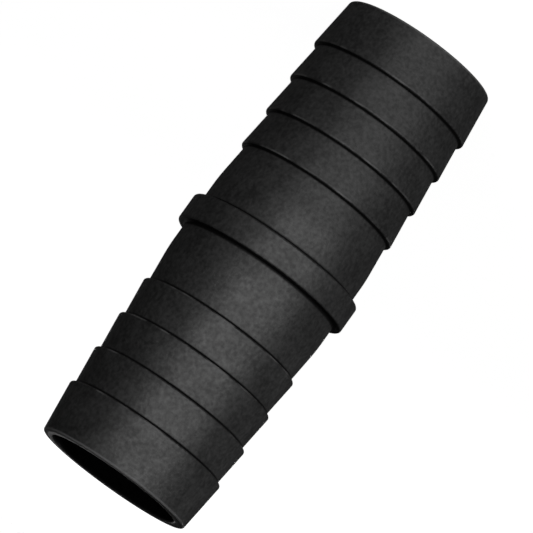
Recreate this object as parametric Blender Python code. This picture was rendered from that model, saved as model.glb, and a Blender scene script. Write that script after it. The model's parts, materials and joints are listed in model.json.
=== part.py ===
"""Straight hose mender: one moulded barbed connector that joins two lengths of the same hose.

It stands on one end, with its axis on +Z and its origin at the middle of the foot's face.
The two spigots are alike, mirrored about the collar that stops both hoses.
Lengths are metres.
"""
import math

import bmesh
import bpy

# Sizes that can be set by themselves
TIP_DIAMETER = 0.0256       # outside diameter of a spigot's tip, which just starts into a 25.4 mm hose
BARB_RISE = 0.0009          # how far a barb's crest stands outside the tip, on the radius
LAND_RISE = 0.0008          # how far the land stands outside the tip, on the radius
BARB_STEP = 0.0007          # height of a barb's shoulder
BARB_COUNT = 4              # barbs on each spigot
BARB_PITCH = 0.00635        # from one shoulder to the next
END_BARB_LENGTH = 0.00835   # from the last shoulder to the tip
LAND_LENGTH = 0.0042        # parallel seat for the hose's end, beside the collar
RUN_LENGTH = 0.0062         # cone from the land down to the first shoulder
COLLAR_WIDTH = 0.0044       # thickness of the collar along the axis
COLLAR_RISE = 0.0013        # height of the collar over the land
TIP_WALL = 0.00175          # wall at the tip, which sets the bore
TIP_ROUND = 0.0005          # outer edge of each mouth
MOUTH_ROUND = 0.0002        # inner edge of each mouth
COLLAR_ROUND = 0.00035      # both edges of the collar

# Finish
NYLON_COLOUR = (0.030, 0.030, 0.030, 1.0)   # matt black, as linear values
NYLON_ROUGHNESS = 0.55

# Fineness of the facets
FACETS_AROUND = 72
FACETS_PER_ROUND = 3
SEAM_MERGE = 0.00001        # the spin's last ring closes onto its first within this
SHARP_EDGE = math.radians(35)

# Sizes that follow
TIP_RADIUS = TIP_DIAMETER / 2
CREST_RADIUS = TIP_RADIUS + BARB_RISE
ROOT_RADIUS = CREST_RADIUS - BARB_STEP
LAND_RADIUS = TIP_RADIUS + LAND_RISE
COLLAR_RADIUS = LAND_RADIUS + COLLAR_RISE
BORE_RADIUS = TIP_RADIUS - TIP_WALL
COLLAR_HALF = COLLAR_WIDTH / 2
LAND_END = COLLAR_HALF + LAND_LENGTH
FIRST_SHOULDER = LAND_END + RUN_LENGTH
LAST_SHOULDER = FIRST_SHOULDER + (BARB_COUNT - 1) * BARB_PITCH
HALF_LENGTH = LAST_SHOULDER + END_BARB_LENGTH


def quarter_round(centre_radius, centre_height, size, start_degrees):
    """Points of a quarter circle, turning clockwise from start_degrees in the (radius, height) plane."""
    points = []
    for step in range(FACETS_PER_ROUND + 1):
        angle = math.radians(start_degrees - 90 * step / FACETS_PER_ROUND)
        radius = centre_radius + size * math.cos(angle)
        height = centre_height + size * math.sin(angle)
        points.append((radius, height))
    return points


def spigot_outline():
    """Upper half of the section, bore's edge to collar, as (radius, height over the collar's middle)."""
    mouth_round = min(MOUTH_ROUND, TIP_WALL / 3)
    tip_round = min(TIP_ROUND, TIP_WALL / 3)
    collar_round = min(COLLAR_ROUND, COLLAR_RISE / 2, COLLAR_WIDTH / 3)

    outline = quarter_round(BORE_RADIUS + mouth_round, HALF_LENGTH - mouth_round, mouth_round, 180)
    outline += quarter_round(TIP_RADIUS - tip_round, HALF_LENGTH - tip_round, tip_round, 90)
    for barb in reversed(range(BARB_COUNT)):
        shoulder = FIRST_SHOULDER + barb * BARB_PITCH
        outline.append((CREST_RADIUS, shoulder))
        outline.append((ROOT_RADIUS, shoulder))
    outline.append((LAND_RADIUS, LAND_END))
    outline.append((LAND_RADIUS, COLLAR_HALF))
    outline += quarter_round(COLLAR_RADIUS - collar_round, COLLAR_HALF - collar_round, collar_round, 90)
    return outline


def mender_section():
    """Closed section of the wall, down the outside from the upper mouth to the lower one."""
    upper = spigot_outline()
    lower = [(radius, -height) for radius, height in reversed(upper)]
    return [(radius, HALF_LENGTH + height) for radius, height in upper + lower]


def moulded_black_nylon():
    """Matt black glass-filled nylon."""
    material = bpy.data.materials.new("black_nylon")
    material.use_nodes = True
    shader = material.node_tree.nodes["Principled BSDF"]
    shader.inputs["Base Color"].default_value = NYLON_COLOUR
    shader.inputs["Roughness"].default_value = NYLON_ROUGHNESS
    shader.inputs["Metallic"].default_value = 0.0
    return material


def mender_body():
    """The whole fitting: the section spun once around the axis."""
    turned = bmesh.new()
    corners = [turned.verts.new((radius, 0.0, height)) for radius, height in mender_section()]
    edges = [turned.edges.new((corners[index - 1], corner)) for index, corner in enumerate(corners)]
    bmesh.ops.spin(turned, geom=corners + edges, axis=(0, 0, 1), angle=math.tau, steps=FACETS_AROUND)
    bmesh.ops.remove_doubles(turned, verts=turned.verts, dist=SEAM_MERGE)
    bmesh.ops.recalc_face_normals(turned, faces=turned.faces)

    mesh = bpy.data.meshes.new("mender_body")
    turned.to_mesh(mesh)
    turned.free()
    mesh.materials.append(moulded_black_nylon())
    mesh.shade_smooth()
    mesh.set_sharp_from_angle(angle=SHARP_EDGE)
    body = bpy.data.objects.new("mender_body", mesh)
    bpy.context.collection.objects.link(body)
    return body


for old in list(bpy.data.objects):
    bpy.data.objects.remove(old)
mender_body()
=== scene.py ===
# %% [markdown]
# # A straight hose mender in black glass-filled nylon
#
# This lesson dresses one small moulded fitting: a tube with stepped barbs at both ends and a collar in
# the middle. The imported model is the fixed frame. It gives the real size and the place of everything,
# in metres, and nothing here moves or resizes it. The visible body is modelled anew inside that frame,
# with the fine rounded edges that a mould leaves.

# %% Load the frame
import json
import math

import bmesh
import bpy
from mathutils import Matrix, Vector

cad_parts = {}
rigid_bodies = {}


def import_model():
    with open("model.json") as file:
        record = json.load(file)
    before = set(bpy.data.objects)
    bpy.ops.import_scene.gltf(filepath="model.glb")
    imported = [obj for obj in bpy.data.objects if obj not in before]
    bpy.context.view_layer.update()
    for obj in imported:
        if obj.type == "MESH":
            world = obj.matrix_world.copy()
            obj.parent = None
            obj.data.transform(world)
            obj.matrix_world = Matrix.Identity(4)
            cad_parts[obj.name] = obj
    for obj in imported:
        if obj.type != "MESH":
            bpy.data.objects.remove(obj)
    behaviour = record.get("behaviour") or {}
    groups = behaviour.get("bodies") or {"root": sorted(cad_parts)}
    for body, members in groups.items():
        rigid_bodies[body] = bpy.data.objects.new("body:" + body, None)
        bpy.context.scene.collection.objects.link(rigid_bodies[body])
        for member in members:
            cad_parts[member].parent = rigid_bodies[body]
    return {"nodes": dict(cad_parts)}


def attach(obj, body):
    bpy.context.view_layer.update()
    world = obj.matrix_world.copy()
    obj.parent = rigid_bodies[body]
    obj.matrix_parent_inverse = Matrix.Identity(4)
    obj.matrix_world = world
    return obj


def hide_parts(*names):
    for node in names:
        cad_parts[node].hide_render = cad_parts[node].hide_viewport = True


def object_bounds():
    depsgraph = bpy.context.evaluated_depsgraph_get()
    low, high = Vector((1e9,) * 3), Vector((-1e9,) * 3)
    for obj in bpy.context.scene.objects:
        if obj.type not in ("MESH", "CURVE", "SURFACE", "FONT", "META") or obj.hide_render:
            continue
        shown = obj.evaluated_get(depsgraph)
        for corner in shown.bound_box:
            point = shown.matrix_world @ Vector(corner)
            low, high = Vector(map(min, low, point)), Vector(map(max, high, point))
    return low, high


for leftover in list(bpy.data.objects):
    bpy.data.objects.remove(leftover)

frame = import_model()
cad_low, cad_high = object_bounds()
MM = 0.001
print("frame box, mm:", [round(size / MM, 2) for size in cad_high - cad_low])

# %% [markdown]
# ## The camera
#
# The photograph is a product shot with a long lens: the barbs at the near end are hardly larger than
# those at the far end. The fitting lies slanted across the picture, with its open mouth at the lower
# left. Our fitting stands on end, as it can on a shelf, so the camera is what leans: it looks down from
# a few degrees above level, and it is rolled until the axis runs from the upper right to the lower left.
# A camera could also be turned by Euler angles, but a matrix built from its own right, up and back
# directions says plainly where the picture's edges point.

# %% Place the camera
CAMERA_DISTANCE = 0.90      # from the middle of the fitting
CAMERA_ELEVATION = 9.4      # degrees above level
AXIS_SLANT = 35.6           # degrees between the fitting's axis and the picture's upright
SENSOR_WIDTH = 36.0
PHOTO_WIDTH = 533           # pixels, and its height too
PIXELS_PER_METRE = 6658.0   # at the middle of the fitting
MIDDLE_RIGHT = 0.7          # pixels from the picture's centre to the fitting's middle
MIDDLE_UP = 2.6

middle = Vector((0.0, 0.0, (cad_low.z + cad_high.z) / 2))
elevation = math.radians(CAMERA_ELEVATION)
slant = math.radians(AXIS_SLANT)
towards_camera = Vector((0.0, -math.cos(elevation), math.sin(elevation)))
sideways = Vector((1.0, 0.0, 0.0))
upright = towards_camera.cross(sideways)
picture_right = -math.cos(slant) * sideways - math.sin(slant) * upright
picture_up = math.sin(slant) * sideways - math.cos(slant) * upright

camera_data = bpy.data.cameras.new("product_camera")
camera_data.sensor_width = SENSOR_WIDTH
camera_data.lens = SENSOR_WIDTH * CAMERA_DISTANCE * PIXELS_PER_METRE / PHOTO_WIDTH
camera_data.shift_x = -MIDDLE_RIGHT / PHOTO_WIDTH
camera_data.shift_y = -MIDDLE_UP / PHOTO_WIDTH
camera_data.clip_start = 0.01
camera_data.clip_end = 50.0
camera = bpy.data.objects.new("product_camera", camera_data)
bpy.context.collection.objects.link(camera)
turned = Matrix((picture_right, picture_up, towards_camera)).transposed()
camera.matrix_world = Matrix.Translation(middle + CAMERA_DISTANCE * towards_camera) @ turned.to_4x4()
bpy.context.scene.camera = camera
print("lens, mm:", round(camera_data.lens, 1))

# %% [markdown]
# ## The sizes
#
# A mender for one-inch hose. The barbs' crests stand a little outside the hose's bore, so that they bite
# into it, and each crest drops by a small step to the root of the next cone. The overall length and the
# collar's and the bore's diameters are read from the frame. The rest are the fitting's own sizes. The
# roundings are what the mould's corners leave: soft on the crests, so that they don't cut the hose.

# %% Name the sizes
TIP_RADIUS = 12.8 * MM
CREST_RADIUS = 13.7 * MM
ROOT_RADIUS = 13.0 * MM
LAND_RADIUS = 13.6 * MM         # the plain seat beside the collar
COLLAR_HALF = 2.2 * MM          # this and the next two are heights from the fitting's middle
LAND_END = 6.4 * MM
FIRST_SHOULDER = 12.6 * MM
BARB_PITCH = 6.35 * MM
BARB_COUNT = 4                  # on each spigot
MOUTH_ROUND = 0.20 * MM         # inner edge of each mouth
TIP_ROUND = 0.34 * MM           # outer edge of each mouth
CREST_ROUND = 0.30 * MM
ROOT_ROUND = 0.35 * MM
COLLAR_ROUND = 0.35 * MM
LAND_BLEND = 30.0 * MM          # the waist, where the land runs into the first cone

body_node = frame["nodes"]["mender_body"]
corner_radii = [math.hypot(vertex.co.x, vertex.co.y) for vertex in body_node.data.vertices]
COLLAR_RADIUS = max(corner_radii)
BORE_RADIUS = min(corner_radii)
HALF_LENGTH = (cad_high.z - cad_low.z) / 2
print("collar and bore radius, mm:", round(COLLAR_RADIUS / MM, 3), round(BORE_RADIUS / MM, 3))

# %% [markdown]
# ## Nodes in few words
#
# Both the shape and the plastic are node trees that this script builds. Four small helpers keep them
# readable: one adds a node, one links a socket or types its value, one does a sum, and one picks a value
# from a list by its number. The trees could be drawn by hand in the node editor instead. Written down,
# they can be read from top to bottom, and they come out the same each time.

# %% Helpers that add nodes
def add_node(tree, kind, **settings):
    """A new node of that kind, with its properties set."""
    node = tree.nodes.new(kind)
    for name, value in settings.items():
        setattr(node, name, value)
    return node


def feed(tree, socket, value):
    """Links a socket, or types a plain value into it."""
    if isinstance(value, bpy.types.NodeSocket):
        tree.links.new(value, socket)
    else:
        socket.default_value = value


def calculate(tree, operation, *terms):
    """One Math node, and its result."""
    node = add_node(tree, "ShaderNodeMath", operation=operation)
    for socket, term in zip(node.inputs, terms):
        feed(tree, socket, term)
    return node.outputs[0]


def choose(tree, number, options):
    """One Index Switch node that picks from the options by their number, and its result."""
    node = add_node(tree, "GeometryNodeIndexSwitch", data_type="FLOAT")
    while len(node.index_switch_items) < len(options):
        node.index_switch_items.new()
    feed(tree, node.inputs["Index"], number)
    for place, option in enumerate(options):
        feed(tree, node.inputs[1 + place], option)
    return node.outputs[0]


# %% [markdown]
# ## The section's corners, sorted by a rule
#
# A turned shape is its section swept once round the axis. The section here follows a rule: the same barb
# repeats along each spigot, and one spigot mirrors the other. Geometry Nodes can write that rule down.
# A line of points is numbered from the lower mouth to the upper one. Each number is folded at the middle,
# so that both spigots share one description, and is then sorted into seven kinds of corner: bore edge,
# tip edge, crest, root, land's end, collar's foot and collar's edge. Numbers are compared half a step off,
# so that rounding can't tip them. A list of points typed by hand would be shorter for this one fitting,
# but it would have to be typed again for another number of barbs.

# %% Sort the corners
MOUTH_CORNERS = 2               # bore edge and tip edge, kinds 0 and 1
CORNERS_PER_BARB = 2            # crest and root
FIRST_BARB_KIND = 2             # so these are kinds 2 and 3
COLLAR_CORNERS = 3              # land's end, collar's foot and collar's edge
FIRST_COLLAR_KIND = 4           # so these are kinds 4 to 6
HALF_STEP = 0.5


def corner_kinds(tree, size):
    """How many corners there are and, for each, its side of the middle, its kind and its barb's number."""
    barb_corners = calculate(tree, "MULTIPLY", size["Barb count"], CORNERS_PER_BARB)
    half_corners = calculate(tree, "ADD", barb_corners, MOUTH_CORNERS + COLLAR_CORNERS)
    corners = calculate(tree, "MULTIPLY", half_corners, 2.0)
    number = add_node(tree, "GeometryNodeInputIndex").outputs[0]
    last = calculate(tree, "SUBTRACT", corners, 1.0)
    folded = calculate(tree, "MINIMUM", number, calculate(tree, "SUBTRACT", last, number))
    lower = calculate(tree, "LESS_THAN", number, half_corners)
    side = calculate(tree, "SUBTRACT", 1.0, calculate(tree, "MULTIPLY", lower, 2.0))

    along_barbs = calculate(tree, "SUBTRACT", folded, MOUTH_CORNERS)
    after_barbs = calculate(tree, "SUBTRACT", along_barbs, barb_corners)
    is_root = calculate(tree, "MODULO", along_barbs, CORNERS_PER_BARB)
    barb_kind = calculate(tree, "ADD", is_root, FIRST_BARB_KIND)
    collar_kind = calculate(tree, "ADD", after_barbs, FIRST_COLLAR_KIND)
    is_barb = calculate(tree, "LESS_THAN", after_barbs, -HALF_STEP)
    is_mouth = calculate(tree, "LESS_THAN", folded, MOUTH_CORNERS - HALF_STEP)
    beyond_mouth = choose(tree, is_barb, [collar_kind, barb_kind])
    kind = choose(tree, is_mouth, [beyond_mouth, folded])
    barbs_passed = calculate(tree, "DIVIDE", along_barbs, CORNERS_PER_BARB)
    barb_from_tip = calculate(tree, "FLOOR", barbs_passed)
    barbs_before_last = calculate(tree, "SUBTRACT", size["Barb count"], 1.0)
    barb = calculate(tree, "SUBTRACT", barbs_before_last, barb_from_tip)
    return corners, side, kind, barb


# %% [markdown]
# ## The section's places and roundings
#
# Three Index Switch nodes now work as a small table: for each kind of corner they hold its radius, its
# height above the middle and its rounding. The points are set there and joined to a closed curve, and
# Fillet Curve rounds each corner by its own radius. The land beside the collar gets a very large radius,
# which is the gentle waist where it runs into the first cone.

# %% Lay out the section
def mender_section(tree, size):
    """The closed, rounded curve that is turned. Its X is counted from the bore's wall."""
    corners, side, kind, barb = corner_kinds(tree, size)
    shoulder = calculate(tree, "MULTIPLY_ADD", barb, size["Barb pitch"], size["First shoulder"])
    radius = choose(tree, kind, [
        size["Bore radius"], size["Tip radius"], size["Crest radius"], size["Root radius"],
        size["Land radius"], size["Land radius"], size["Collar radius"]])
    height = choose(tree, kind, [
        size["Half length"], size["Half length"], shoulder, shoulder,
        size["Land end"], size["Collar half width"], size["Collar half width"]])
    rounding = choose(tree, kind, [
        size["Mouth round"], size["Tip round"], size["Crest round"], size["Root round"],
        size["Land blend"], size["Root round"], size["Collar round"]])

    line = add_node(tree, "GeometryNodeMeshLine", mode="OFFSET")
    feed(tree, line.inputs["Count"], corners)
    place = add_node(tree, "ShaderNodeCombineXYZ")
    feed(tree, place.inputs["X"], calculate(tree, "SUBTRACT", radius, size["Bore radius"]))
    feed(tree, place.inputs["Y"], calculate(tree, "MULTIPLY", height, side))
    placed = add_node(tree, "GeometryNodeSetPosition")
    feed(tree, placed.inputs["Geometry"], line.outputs["Mesh"])
    feed(tree, placed.inputs["Position"], place.outputs[0])
    marked = add_node(tree, "GeometryNodeStoreNamedAttribute", data_type="FLOAT", domain="POINT")
    feed(tree, marked.inputs["Geometry"], placed.outputs[0])
    feed(tree, marked.inputs["Name"], "rounding")
    feed(tree, marked.inputs["Value"], rounding)

    curve = add_node(tree, "GeometryNodeMeshToCurve")
    feed(tree, curve.inputs[0], marked.outputs[0])
    closed = add_node(tree, "GeometryNodeSetSplineCyclic")
    feed(tree, closed.inputs["Geometry"], curve.outputs[0])
    feed(tree, closed.inputs["Cyclic"], True)
    own_rounding = add_node(tree, "GeometryNodeInputNamedAttribute", data_type="FLOAT")
    feed(tree, own_rounding.inputs["Name"], "rounding")
    rounded = add_node(tree, "GeometryNodeFilletCurve", mode="POLY")
    feed(tree, rounded.inputs["Curve"], closed.outputs[0])
    feed(tree, rounded.inputs["Count"], size["Facets per round"])
    feed(tree, rounded.inputs["Radius"], own_rounding.outputs["Attribute"])
    return rounded.outputs[0]


# %% [markdown]
# ## The tree that turns it
#
# Curve to Mesh sweeps the section round a circle of the bore's radius, and the result is lifted so that
# it stands on the floor. A Screw modifier would turn it just as well. The tree is used because the number
# of barbs, their pitch and every radius stay as named inputs, which can be tried out one by one.

# %% Build the tree
FACETS_AROUND = 288
FACETS_PER_ROUND = 5
SIZE_INPUTS = {
    "Bore radius": BORE_RADIUS, "Tip radius": TIP_RADIUS, "Crest radius": CREST_RADIUS,
    "Root radius": ROOT_RADIUS, "Land radius": LAND_RADIUS, "Collar radius": COLLAR_RADIUS,
    "Collar half width": COLLAR_HALF, "Land end": LAND_END, "First shoulder": FIRST_SHOULDER,
    "Barb pitch": BARB_PITCH, "Half length": HALF_LENGTH, "Mouth round": MOUTH_ROUND,
    "Tip round": TIP_ROUND, "Crest round": CREST_ROUND, "Root round": ROOT_ROUND,
    "Land blend": LAND_BLEND, "Collar round": COLLAR_ROUND,
}
COUNT_INPUTS = {
    "Barb count": BARB_COUNT, "Facets around": FACETS_AROUND, "Facets per round": FACETS_PER_ROUND,
}


def turned_mender_tree(finish):
    """The whole node tree: its named inputs, the section, the sweep and the finish."""
    tree = bpy.data.node_groups.new("turned_mender", "GeometryNodeTree")
    tree.interface.new_socket("Geometry", in_out="OUTPUT", socket_type="NodeSocketGeometry")
    for name in SIZE_INPUTS:
        tree.interface.new_socket(name, in_out="INPUT", socket_type="NodeSocketFloat")
    for name in COUNT_INPUTS:
        tree.interface.new_socket(name, in_out="INPUT", socket_type="NodeSocketInt")
    size = add_node(tree, "NodeGroupInput").outputs

    circle = add_node(tree, "GeometryNodeCurvePrimitiveCircle", mode="RADIUS")
    feed(tree, circle.inputs["Resolution"], size["Facets around"])
    feed(tree, circle.inputs["Radius"], size["Bore radius"])
    sweep = add_node(tree, "GeometryNodeCurveToMesh")
    feed(tree, sweep.inputs["Curve"], circle.outputs[0])
    feed(tree, sweep.inputs["Profile Curve"], mender_section(tree, size))
    lift = add_node(tree, "ShaderNodeCombineXYZ")
    feed(tree, lift.inputs["Z"], size["Half length"])
    stand = add_node(tree, "GeometryNodeTransform")
    feed(tree, stand.inputs["Geometry"], sweep.outputs[0])
    feed(tree, stand.inputs["Translation"], lift.outputs[0])
    realize = add_node(tree, "GeometryNodeRealizeInstances")
    feed(tree, realize.inputs[0], stand.outputs[0])
    coat = add_node(tree, "GeometryNodeSetMaterial")
    feed(tree, coat.inputs["Geometry"], realize.outputs[0])
    coat.inputs["Material"].default_value = finish
    out = add_node(tree, "NodeGroupOutput")
    feed(tree, out.inputs[0], coat.outputs[0])
    return tree


# %% [markdown]
# ## The plastic
#
# Glass-filled nylon comes out of the mould jet black and matt, with a soft sheen where it faces the
# light. Short glass fibres lie just under the skin, so the sheen breaks up into a fine grain with paler
# specks, and the skin is a little uneven. One noise gives the grain and a broader one the slow mottling.
# Together they drive the colour and the roughness, and the grain alone drives a very shallow bump. An
# image of the grain would repeat or smear on a turned shape, and noise in object coordinates doesn't.

# %% Helpers for the grain
def noise(tree, place, grain_size, detail):
    """One Noise Texture whose blobs are about grain_size across, and its value."""
    node = add_node(tree, "ShaderNodeTexNoise")
    feed(tree, node.inputs["Vector"], place)
    feed(tree, node.inputs["Scale"], 1.0 / grain_size)
    feed(tree, node.inputs["Detail"], detail)
    return node.outputs["Fac"]


def spread(tree, value, from_range, to_range):
    """One Map Range node that stretches a value from one range to another, and its result."""
    node = add_node(tree, "ShaderNodeMapRange", clamp=True)
    feed(tree, node.inputs["Value"], value)
    feed(tree, node.inputs["From Min"], from_range[0])
    feed(tree, node.inputs["From Max"], from_range[1])
    feed(tree, node.inputs["To Min"], to_range[0])
    feed(tree, node.inputs["To Max"], to_range[1])
    return node.outputs["Result"]


# %% [markdown]
# ## The painted shade in the creases
#
# At every barb's root, and at both feet of the collar, the photograph shows a crisp black line. It is
# shade: the real corner is sharper than the rounding here, and it traps the light that falls into it.
# The rounding doesn't, so the shade is painted on: the colour turns black there and the sheen is taken
# away. The rule that spaced the barbs finds the corners again: a remainder tells how far a point is from
# the nearest shoulder. Painting the lines by hand would be slow, and they would no longer follow the
# sizes.

# %% Find the creases, where shade is painted
CREASE_WIDTH = 0.46 * MM
COLLAR_CREASE_WIDTH = 0.58 * MM
CREASE_FADE = 0.26 * MM
FADE_IN_SHARE = 0.3             # a band starts more sharply than it ends
CREASE_REACH = 0.09 * MM        # past the shoulder's own plane, onto the rounded crest
OUTSIDE_RADIUS = 12.0 * MM      # between the bore's wall and the spigots' skin
LAST_SHOULDER = FIRST_SHOULDER + (BARB_COUNT - 1) * BARB_PITCH
CREASES_START = FIRST_SHOULDER - 2 * CREASE_WIDTH
CREASES_END = LAST_SHOULDER + CREASE_REACH


def outside_and_height(tree, place):
    """1 outside the bore and 0 in it, and how far a point is from the fitting's middle, up or down."""
    axes = add_node(tree, "ShaderNodeSeparateXYZ")
    feed(tree, axes.inputs[0], place)
    across = add_node(tree, "ShaderNodeCombineXYZ")
    feed(tree, across.inputs["X"], axes.outputs["X"])
    feed(tree, across.inputs["Y"], axes.outputs["Y"])
    from_axis = add_node(tree, "ShaderNodeVectorMath", operation="LENGTH")
    feed(tree, from_axis.inputs[0], across.outputs[0])
    outside = calculate(tree, "GREATER_THAN", from_axis.outputs["Value"], OUTSIDE_RADIUS)
    above_middle = calculate(tree, "SUBTRACT", axes.outputs["Z"], HALF_LENGTH)
    return outside, calculate(tree, "ABSOLUTE", above_middle)


def band(tree, distance, width):
    """1 where a distance lies between 0 and width, fading to 0 at both ends."""
    fade_in = spread(tree, distance, (0.0, FADE_IN_SHARE * CREASE_FADE), (0.0, 1.0))
    fade_out = spread(tree, distance, (width, width - CREASE_FADE), (0.0, 1.0))
    return calculate(tree, "MULTIPLY", fade_in, fade_out)


def crease_painted_shade_mask(tree, outside, from_middle):
    """Painted shade: 1 in each shoulder's corner and on the shoulder itself, fading to 0 along the skin.
    """
    before_shoulder = calculate(tree, "SUBTRACT", FIRST_SHOULDER + CREASE_REACH, from_middle)
    to_shoulder = calculate(tree, "FLOORED_MODULO", before_shoulder, BARB_PITCH)
    after_start = calculate(tree, "GREATER_THAN", from_middle, CREASES_START)
    before_end = calculate(tree, "LESS_THAN", from_middle, CREASES_END)
    at_barbs = calculate(tree, "MULTIPLY", after_start, before_end)
    repeated = band(tree, to_shoulder, CREASE_WIDTH + CREASE_REACH)
    barb_crease_shade = calculate(tree, "MULTIPLY", at_barbs, repeated)
    from_collar = calculate(tree, "SUBTRACT", from_middle, COLLAR_HALF - CREASE_REACH)
    collar_crease_shade = band(tree, from_collar, COLLAR_CREASE_WIDTH + CREASE_REACH)
    crease_shade = calculate(tree, "MAXIMUM", barb_crease_shade, collar_crease_shade)
    return calculate(tree, "MULTIPLY", outside, crease_shade)


print("creases:", 2 * BARB_COUNT, "beside barbs and 2 beside the collar")

# %% [markdown]
# ## The pale crests and the painted light on the lips
#
# On the barbs' crests the black skin turns a dull grey, but only here and there. On the lips of the
# mouths the same grey goes all round, and there it is painted light: a painted highlight that lifts the
# lip and its rounding out of the shade that the low lamps leave there. The collar's edges stay black.
# Pointiness could find edges too, but it would take every rounding. The remainder finds just these.

# %% Find the pale crests and the lit lips
PALE_CREST_WIDTH = 0.30 * MM
LIP_LIGHT_WIDTH = 0.40 * MM
PALE_CRESTS_START = FIRST_SHOULDER + 0.5 * CREASE_REACH
PALE_CRESTS_END = LAST_SHOULDER + 2 * PALE_CREST_WIDTH
LIP_START = HALF_LENGTH - LIP_LIGHT_WIDTH
PATCHES = (0.48, 0.62)          # where the slow mottling starts and ends a patch


def pale_crest_and_lit_lip_mask(tree, from_middle, patches):
    """Grey on the crests here and there, painted light all round the lips; fading to 0 along the skin."""
    past_first = calculate(tree, "SUBTRACT", from_middle, PALE_CRESTS_START)
    past_shoulder = calculate(tree, "FLOORED_MODULO", past_first, BARB_PITCH)
    after_start = calculate(tree, "GREATER_THAN", past_first, 0.0)
    before_end = calculate(tree, "LESS_THAN", from_middle, PALE_CRESTS_END)
    at_barbs = calculate(tree, "MULTIPLY", after_start, before_end)
    crest = calculate(tree, "MULTIPLY", at_barbs, band(tree, past_shoulder, PALE_CREST_WIDTH))
    in_patch = spread(tree, patches, PATCHES, (0.0, 1.0))
    patchy_crest = calculate(tree, "MULTIPLY", crest, in_patch)
    # painted highlight all round each lip and its rounding
    lip = spread(tree, from_middle, (LIP_START, LIP_START + CREASE_FADE), (0.0, 1.0))
    return calculate(tree, "MAXIMUM", patchy_crest, lip)


# counts the grey crests and the lips with painted light
print("rubbed edges:", 2 * BARB_COUNT, "crests and 2 lips")

# %% [markdown]
# ## The black nylon
#
# The finish puts these together. The creases are painted with shade: their colour turns black and
# nearly all their sheen is taken away. The crests turn grey here and there, and on the lips the grey is
# painted light. The bore is smoother than the outside: a polished core pin forms it, so that it lets go
# and the water runs freely.

# %% Black nylon
GRAIN_SIZE = 0.62 * MM
MOTTLE_SIZE = 4.0 * MM
NOISE_DETAIL = 2.0
NOISE_MEAN = 0.5
MOTTLE_SHARE = 0.5              # how much the slow mottling counts beside the grain
COLOUR_RANGE = (0.30, 0.80)     # the noise values that give the darkest and the palest skin
ROUGHNESS_RANGE = (0.25, 0.75)  # those that give the roughest and the smoothest
NYLON_DARK = (0.004, 0.004, 0.004, 1.0)
NYLON_PALE = (0.030, 0.030, 0.030, 1.0)
# painted shade: the black that the creases are painted with
CREASE_PAINTED_SHADE = (0.002, 0.002, 0.002, 1.0)
# grey on the crests, and painted light on the lips
PALE_CREST_AND_LIP_LIGHT_GREY = (0.100, 0.100, 0.100, 1.0)
NYLON_ROUGHNESS = (0.60, 0.50)
BORE_ROUGHNESS = 0.30
SKIN_GLOSS = 0.50
# painted shade: the creases' sheen is taken away
CREASE_SHADE_GLOSS = 0.10
GRAIN_DEPTH = 0.034 * MM


def mixed(tree, share, first, second):
    """One Mix node between two colours, and its result."""
    node = add_node(tree, "ShaderNodeMix", data_type="RGBA")
    feed(tree, node.inputs["Factor"], share)
    feed(tree, node.inputs["A"], first)
    feed(tree, node.inputs["B"], second)
    return node.outputs["Result"]


def moulded_nylon():
    """Black nylon: grain, slow mottling, painted shade in creases, grey crests, painted light on the lips.
    """
    material = bpy.data.materials.new("black_nylon")
    material.use_nodes = True
    tree = material.node_tree
    shader = tree.nodes["Principled BSDF"]
    place = add_node(tree, "ShaderNodeTexCoord").outputs["Object"]
    outside, from_middle = outside_and_height(tree, place)
    # the creases, where shade is painted
    crease_shade = crease_painted_shade_mask(tree, outside, from_middle)
    grain = noise(tree, place, GRAIN_SIZE, NOISE_DETAIL)
    mottle = noise(tree, place, MOTTLE_SIZE, NOISE_DETAIL)
    off_mean = calculate(tree, "SUBTRACT", mottle, NOISE_MEAN)
    mottled = calculate(tree, "MULTIPLY_ADD", off_mean, MOTTLE_SHARE, grain)

    paleness = spread(tree, mottled, COLOUR_RANGE, (0.0, 1.0))
    skin = mixed(tree, paleness, NYLON_DARK, NYLON_PALE)
    # grey on the crests, and painted light on the lips
    pale_and_lit_skin = mixed(tree, pale_crest_and_lit_lip_mask(tree, from_middle, mottle), skin, PALE_CREST_AND_LIP_LIGHT_GREY)
    # painted shade: the creases are painted black over the skin
    feed(tree, shader.inputs["Base Color"], mixed(tree, crease_shade, pale_and_lit_skin, CREASE_PAINTED_SHADE))
    roughness = spread(tree, mottled, ROUGHNESS_RANGE, NYLON_ROUGHNESS)
    over_bore = calculate(tree, "SUBTRACT", roughness, BORE_ROUGHNESS)
    skin_roughness = calculate(tree, "MULTIPLY_ADD", outside, over_bore, BORE_ROUGHNESS)
    feed(tree, shader.inputs["Roughness"], skin_roughness)
    # painted shade: the sheen fades to almost none in the creases
    gloss = spread(tree, crease_shade, (0.0, 1.0), (SKIN_GLOSS, CREASE_SHADE_GLOSS))
    feed(tree, shader.inputs["Specular IOR Level"], gloss)

    bump = add_node(tree, "ShaderNodeBump")
    feed(tree, bump.inputs["Strength"], 1.0)
    feed(tree, bump.inputs["Distance"], GRAIN_DEPTH)
    feed(tree, bump.inputs["Height"], grain)
    feed(tree, shader.inputs["Normal"], bump.outputs["Normal"])
    return material


black_nylon = moulded_nylon()
print("finish:", black_nylon.name)

# %% [markdown]
# ## Turning the body
#
# An empty seed object carries the tree as a modifier. Its inputs are typed in by their identifiers,
# before Blender works the shape out for the first time. A Weighted Normal modifier then lets each long
# cone keep its own direction beside its narrow roundings, so that the barbs look crisp and not swollen.
# The result is copied to a plain mesh, and the seed with its modifiers is thrown away.

# %% Turn the body
FAVOUR_LONG_FACES = 100         # the modifier's most; 50 would favour none
CUBIC_CM = 1e-6

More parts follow.
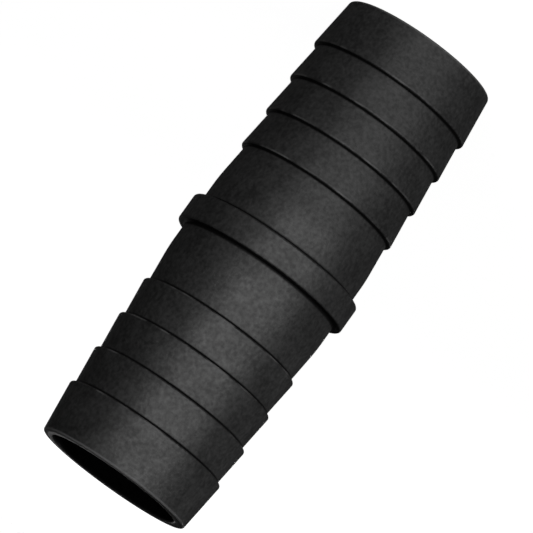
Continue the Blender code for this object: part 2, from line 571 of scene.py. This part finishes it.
maker = bpy.data.objects.new("mender_maker", bpy.data.meshes.new("mender_seed"))
bpy.context.collection.objects.link(maker)
turning = maker.modifiers.new("turning", "NODES")
turning.node_group = turned_mender_tree(black_nylon)
input_values = {**SIZE_INPUTS, **COUNT_INPUTS}
for item in turning.node_group.interface.items_tree:
    if item.in_out == "INPUT":
        turning[item.identifier] = input_values[item.name]
flat_cones = maker.modifiers.new("flat_cones", "WEIGHTED_NORMAL")
flat_cones.weight = FAVOUR_LONG_FACES
depsgraph = bpy.context.evaluated_depsgraph_get()
mender_mesh = bpy.data.meshes.new_from_object(maker.evaluated_get(depsgraph))
bpy.data.objects.remove(maker)

mender_mesh.shade_smooth()
mender = bpy.data.objects.new("mender", mender_mesh)
bpy.context.collection.objects.link(mender)
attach(mender, "root")
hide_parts("mender_body")

probe = bmesh.new()
probe.from_mesh(mender_mesh)
volume = probe.calc_volume(signed=True)
print("faces:", len(probe.faces), "volume, cm3:", round(volume / CUBIC_CM, 2))
probe.free()

# %% [markdown]
# ## The floor
#
# The fitting stands on a plain pale floor. In the photograph everything around it is pure white, and a
# floor lit that brightly would wash the black plastic out to grey. So the floor glows for the camera:
# Light Path tells it which rays come from there. Near the fitting the glow alone stays just short of
# white, and what the lamps add makes up the rest, so that the shadow stays. Farther out their light
# fades, and the glow rises to full white. Clear glass would see the same white. Mirrored rays get only
# a small share of it, because a rough black skin mirrors a little of everything around it.

# %% Lay the floor
FLOOR_HALF = 4.0                # metres from the middle to each side
FLOOR_COLOUR = (0.8, 0.8, 0.8, 1.0)
WHITE = (1.0, 1.0, 1.0, 1.0)
FLOOR_GLOW = (0.952, 1.0)       # near the fitting, and far from it
GLOW_RISES = (0.2, 0.6)         # metres from the fitting, where the one turns into the other
MIRRORED_SHARE = 0.01


def seen_white(tree, mirrored_share):
    """1 for rays from the camera or through glass, and a share of that for mirrored rays."""
    path = add_node(tree, "ShaderNodeLightPath").outputs
    mirrored = calculate(tree, "MULTIPLY", path["Is Glossy Ray"], mirrored_share)
    direct = calculate(tree, "MAXIMUM", path["Is Camera Ray"], path["Is Transmission Ray"])
    return calculate(tree, "MAXIMUM", direct, mirrored)


def pale_floor():
    """A matt pale floor with a glow that the camera sees and the fitting hardly does."""
    material = bpy.data.materials.new("pale_floor")
    material.use_nodes = True
    tree = material.node_tree
    tree.nodes.clear()
    matt = add_node(tree, "ShaderNodeBsdfDiffuse")
    matt.inputs["Color"].default_value = FLOOR_COLOUR
    glow = add_node(tree, "ShaderNodeEmission")
    glow.inputs["Color"].default_value = WHITE
    from_fitting = add_node(tree, "ShaderNodeVectorMath", operation="LENGTH")
    feed(tree, from_fitting.inputs[0], add_node(tree, "ShaderNodeTexCoord").outputs["Object"])
    own_glow = spread(tree, from_fitting.outputs["Value"], GLOW_RISES, FLOOR_GLOW)
    seen_glow = calculate(tree, "MULTIPLY", seen_white(tree, MIRRORED_SHARE), own_glow)
    feed(tree, glow.inputs["Strength"], seen_glow)
    both = add_node(tree, "ShaderNodeAddShader")
    feed(tree, both.inputs[0], matt.outputs[0])
    feed(tree, both.inputs[1], glow.outputs[0])
    out = add_node(tree, "ShaderNodeOutputMaterial")
    feed(tree, out.inputs["Surface"], both.outputs[0])
    return material


floor_mesh = bpy.data.meshes.new("floor")
floor_corners = [
    (-FLOOR_HALF, -FLOOR_HALF, 0.0), (FLOOR_HALF, -FLOOR_HALF, 0.0),
    (FLOOR_HALF, FLOOR_HALF, 0.0), (-FLOOR_HALF, FLOOR_HALF, 0.0)]
floor_mesh.from_pydata(floor_corners, [], [(0, 1, 2, 3)])
floor_mesh.materials.append(pale_floor())
floor = bpy.data.objects.new("floor", floor_mesh)
bpy.context.collection.objects.link(floor)
print("floor, m across:", 2 * FLOOR_HALF, "glow near and far:", FLOOR_GLOW)

# %% [markdown]
# ## The room
#
# Around the floor is a dim, even room. It is white to the camera, as the floor is, and lends the plastic
# just enough light that its shaded side isn't lost. Walls could be built instead, but the world's light
# comes from all sides at once and needs no shape.

# %% Light the room
ROOM_LIGHT = 0.015

studio = bpy.data.worlds.new("studio")
studio.use_nodes = True
bpy.context.scene.world = studio
sky = studio.node_tree
sky.nodes.clear()
room = add_node(sky, "ShaderNodeBackground")
room.inputs["Color"].default_value = WHITE
seen_room = calculate(sky, "MAXIMUM", seen_white(sky, MIRRORED_SHARE), ROOM_LIGHT)
feed(sky, room.inputs["Strength"], seen_room)
studio_out = add_node(sky, "ShaderNodeOutputWorld")
feed(sky, studio_out.inputs["Surface"], room.outputs[0])
print("room light:", ROOM_LIGHT)

# %% [markdown]
# ## The lamps
#
# The photograph's light comes from beside the camera, and low: the barrel has a broad sheen, both sides
# fall away, every face that looks up along the axis is black, and so is the bore. Two wide softboxes at
# the fitting's own height do that, one to the picture's right and one just left of the camera. Their
# upper edges are hardly above the mouth, so that little light falls down the bore. A weak high lamp and
# a weak right lamp soften the sides, and a faint lamp behind draws the mouth's lip. A long low fill
# lights the back for the other views, and is left out of reflections, because it glinted at the ends of
# the shoulders. One large softbox would be simpler, but it would flatten the barrel and grey the bore.

# %% Set up the lamps
LAMP_DISTANCE = 0.9             # from the fitting's middle


def softbox(name, azimuth, height_angle, width, height, brightness):
    """A soft lamp that faces the fitting. Its brightness is what it adds to a white card that faces it."""
    lamp_data = bpy.data.lights.new(name, "AREA")
    lamp_data.shape = "RECTANGLE"
    lamp_data.size = width
    lamp_data.size_y = height
    lamp_data.energy = brightness * math.pi * math.pi * LAMP_DISTANCE * LAMP_DISTANCE
    lamp = bpy.data.objects.new(name, lamp_data)
    bpy.context.collection.objects.link(lamp)
    turn = math.radians(azimuth)
    rise = math.radians(height_angle)
    away = Vector((math.sin(turn) * math.cos(rise), -math.cos(turn) * math.cos(rise), math.sin(rise)))
    lamp.location = middle + LAMP_DISTANCE * away
    lamp.rotation_euler = away.to_track_quat("Z", "Y").to_euler()
    lamp.visible_camera = False
    print(name, "watts:", round(lamp_data.energy, 2))
    return lamp


softbox("right_bank", azimuth=-34, height_angle=0.3, width=0.46, height=0.08, brightness=0.43)
softbox("left_bank", azimuth=5, height_angle=0.3, width=0.50, height=0.08, brightness=0.45)
softbox("high_lamp", azimuth=10, height_angle=45, width=0.5, height=0.3, brightness=0.02)
rear_fill = softbox("rear_fill", azimuth=180, height_angle=-2.1, width=0.6, height=0.008, brightness=0.7)
rear_fill.visible_glossy = False
softbox("lip_lamp", azimuth=170, height_angle=8, width=0.3, height=0.1, brightness=0.009)
softbox("right_lamp", azimuth=-120, height_angle=3, width=0.3, height=0.12, brightness=0.018)

# %% [markdown]
# ## Finish
#
# The view is Standard, which shows a colour as it is written.

# %% Finish
bpy.context.scene.view_settings.view_transform = "Standard"
